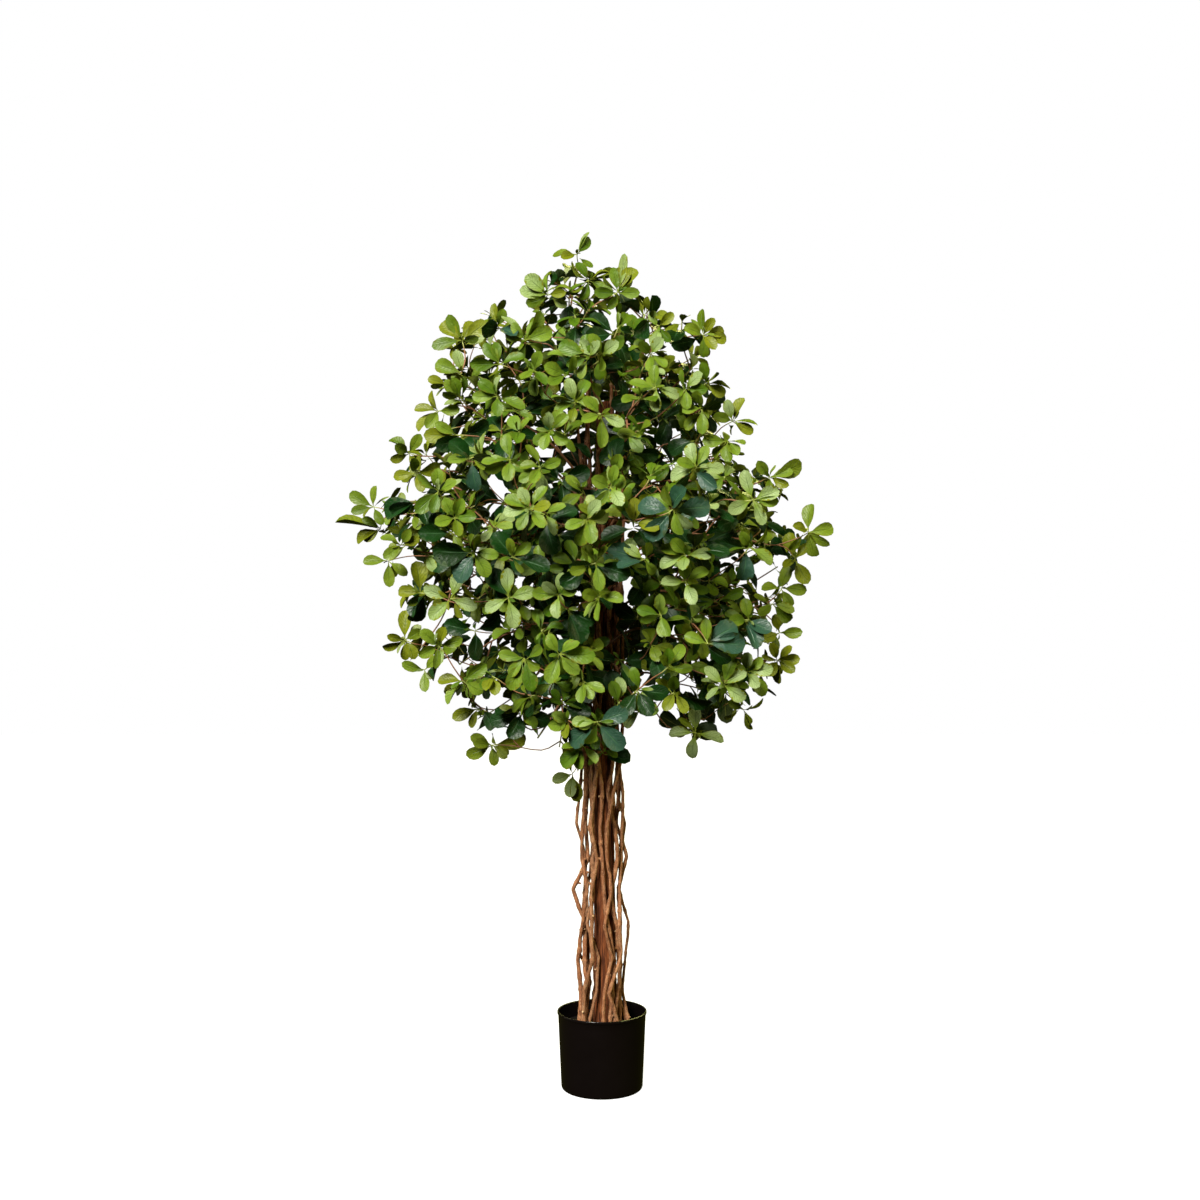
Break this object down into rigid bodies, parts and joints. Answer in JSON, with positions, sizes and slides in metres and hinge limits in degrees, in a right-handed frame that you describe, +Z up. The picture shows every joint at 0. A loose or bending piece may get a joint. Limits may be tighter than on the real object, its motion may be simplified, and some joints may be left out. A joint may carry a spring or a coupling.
{
  "type": "potted banyan tree",
  "caption": "Tall potted banyan tree: a round leafy crown on a trunk wrapped in kinked vine sticks, in a plain near-black nursery pot.",
  "frame": {"origin": "centre of the pot's flat underside, at the level of the floor that it stands on", "axes": "+Z up along the pot's axis and the trunk; the front of the tree, as pictured, faces -Y; +X to the right of the front view"},
  "size_m": [0.8987, 0.8561, 1.5],
  "materials": {
    "pot": "near-black, satin",
    "pot_fill": "dark, rough",
    "trunk_core": "dark red-brown, dull, fine upright grain",
    "vine": "tan-brown bark, dull",
    "branch": "satin green leaves on copper-brown twigs"
  },
  "bodies": {
    "root": {"pot": "pot", "pot_fill": "pot_fill", "trunk_core": "trunk_core", "vine_01": "vine", "vine_02": "vine", "vine_03": "vine", "vine_04": "vine", "vine_05": "vine", "vine_06": "vine", "vine_07": "vine", "vine_08": "vine", "vine_09": "vine", "vine_10": "vine", "vine_11": "vine", "vine_12": "vine", "vine_13": "vine", "vine_14": "vine", "vine_15": "vine", "vine_16": "vine", "branch_01": "branch", "branch_02": "branch", "branch_03": "branch", "branch_04": "branch", "branch_05": "branch", "branch_06": "branch", "branch_07": "branch", "branch_08": "branch", "branch_09": "branch", "branch_10": "branch", "branch_11": "branch", "branch_12": "branch", "branch_13": "branch", "branch_14": "branch", "branch_15": "branch", "branch_16": "branch", "branch_17": "branch", "branch_18": "branch", "branch_19": "branch", "branch_20": "branch", "branch_21": "branch", "branch_22": "branch", "branch_23": "branch", "branch_24": "branch", "branch_25": "branch", "branch_26": "branch", "branch_27": "branch", "branch_28": "branch", "branch_29": "branch", "branch_30": "branch", "branch_31": "branch", "branch_32": "branch"}
  },
  "joints": []
}
